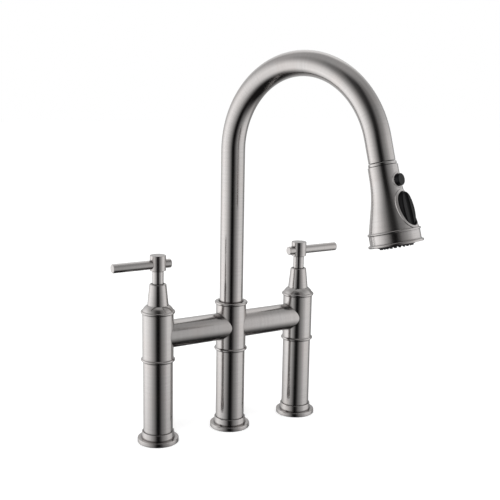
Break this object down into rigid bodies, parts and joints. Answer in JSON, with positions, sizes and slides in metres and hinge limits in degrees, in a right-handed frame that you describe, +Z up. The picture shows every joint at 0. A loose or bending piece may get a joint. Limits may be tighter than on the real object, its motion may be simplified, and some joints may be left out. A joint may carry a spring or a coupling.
{
  "type": "bridge kitchen faucet",
  "caption": "Deck-mounted bridge kitchen faucet with side lever valves, a swivelling gooseneck spout and a pull-down spray head with a button and a rocker.",
  "frame": {"origin": "on the worktop, on the axis of the middle post", "axes": "+Z up, +X along the bridge towards the cold-water side, -Y towards the user"},
  "size_m": [0.3196, 0.2769, 0.468],
  "materials": {
    "brushed_metal": "fine brushed gunmetal stainless",
    "brass": "machined brass",
    "steel": "bright steel",
    "magnet": "nickel-plated magnet ring",
    "ceramic": "ground ceramic",
    "cartridge_plastic": "moulded acetal",
    "white_plastic": "moulded acetal",
    "inner_plastic": "moulded ABS",
    "gloss_black": "gloss black ABS",
    "matte_black": "satin black ABS",
    "rubber": "black silicone rubber",
    "hose_braid": "grey nylon braid"
  },
  "bodies": {
    "faucet_body": {"left_base_flange": "brushed_metal", "left_leg": "brushed_metal", "left_leg_foot": "brass", "centre_base_flange": "brushed_metal", "centre_leg": "brushed_metal", "centre_leg_foot": "brass", "right_base_flange": "brushed_metal", "right_leg": "brushed_metal", "right_leg_foot": "brass", "base_gaskets": "rubber", "left_valve_body": "brushed_metal", "left_bridge_tube": "brushed_metal", "left_bonnet": "brushed_metal", "left_cartridge_housing": "cartridge_plastic", "left_fixed_disc": "ceramic", "right_valve_body": "brushed_metal", "right_bridge_tube": "brushed_metal", "right_bonnet": "brushed_metal", "right_cartridge_housing": "cartridge_plastic", "right_fixed_disc": "ceramic", "cartridge_seals": "rubber", "cartridge_nuts": "brass", "centre_body": "brushed_metal", "spout_pivot": "brass", "spout_bushes": "white_plastic", "spout_o_rings": "rubber", "glide_washers": "white_plastic", "spout_collar": "brushed_metal"},
    "left_handle": {"left_handle_hub": "brushed_metal", "left_lever_rod": "brushed_metal", "left_set_screw": "steel", "left_spindle": "brass", "left_moving_disc": "ceramic"},
    "right_handle": {"right_handle_hub": "brushed_metal", "right_lever_rod": "brushed_metal", "right_set_screw": "steel", "right_spindle": "brass", "right_moving_disc": "ceramic"},
    "spout": {"spout_tube": "brushed_metal", "dock_sleeve": "white_plastic", "dock_magnet": "magnet", "pull_hose": "hose_braid"},
    "hose_end": {"hose_stretch": "hose_braid", "hose_ferrule": "brass"},
    "hose_tail_end": {"hose_tail": "brass"},
    "spray_head": {"head_neck": "inner_plastic", "head_collar": "brushed_metal", "head_shell": "brushed_metal", "water_core": "inner_plastic", "lower_band": "brushed_metal", "hose_nut": "brass", "rocker_pin": "steel", "spray_face": "matte_black", "nozzle_mat": "rubber", "aerator": "white_plastic", "button_spring": "steel"},
    "pause_button": {"push_button": "gloss_black"},
    "spray_rocker": {"rocker": "gloss_black"},
    "diverter": {"diverter_spool": "white_plastic"}
  },
  "joints": [
    {"name": "left_handle_turn", "type": "hinge", "parent": "faucet_body", "child": "left_handle", "pos_m": [-0.1016, 0, 0.2192], "axis": [0, 0, 1], "range_deg": [0, 90]},
    {"name": "right_handle_turn", "type": "hinge", "parent": "faucet_body", "child": "right_handle", "pos_m": [0.1016, 0, 0.2192], "axis": [0, 0, 1], "range_deg": [-90, 0]},
    {"name": "spout_swivel", "type": "hinge", "parent": "faucet_body", "child": "spout", "pos_m": [0, 0, 0.2], "axis": [0, 0, 1], "range_deg": [-107, 73]},
    {"name": "spray_head_pull", "type": "slide", "parent": "spout", "child": "hose_end", "axis": [0.0732, -0.2394, -0.9681], "range_m": [0, 0.22], "deforming": ["pull_hose"]},
    {"name": "hose_tail_rise", "type": "slide", "parent": "spout", "child": "hose_tail_end", "axis": [0, 0, 1], "range_m": [0, 0.22]},
    {"name": "head_turn", "type": "hinge", "parent": "hose_end", "child": "spray_head", "pos_m": [0.06174, -0.20195, 0.35056], "axis": [0.0732, -0.2394, -0.9681], "continuous": true},
    {"name": "button_press", "type": "slide", "parent": "spray_head", "child": "pause_button", "axis": [-0.2831, 0.9258, -0.2504], "range_m": [0, 0.002], "stiffness_N_per_m": 500, "springref_m": -0.002, "deforming": ["button_spring"]},
    {"name": "rocker_tilt", "type": "hinge", "parent": "spray_head", "child": "spray_rocker", "pos_m": [0.06875, -0.22486, 0.30305], "axis": [-0.9563, -0.2924, 0], "range_deg": [-3, 3]},
    {"name": "diverter_shift", "type": "slide", "parent": "spray_head", "child": "diverter", "axis": [0.0732, -0.2394, -0.9681], "range_m": [-0.001, 0.001]}
  ],
  "couplings": [
    {"joint": "hose_tail_rise", "follows": "spray_head_pull", "ratio": 1},
    {"joint": "diverter_shift", "follows": "rocker_tilt", "m_per_rad": 0.0082}
  ]
}
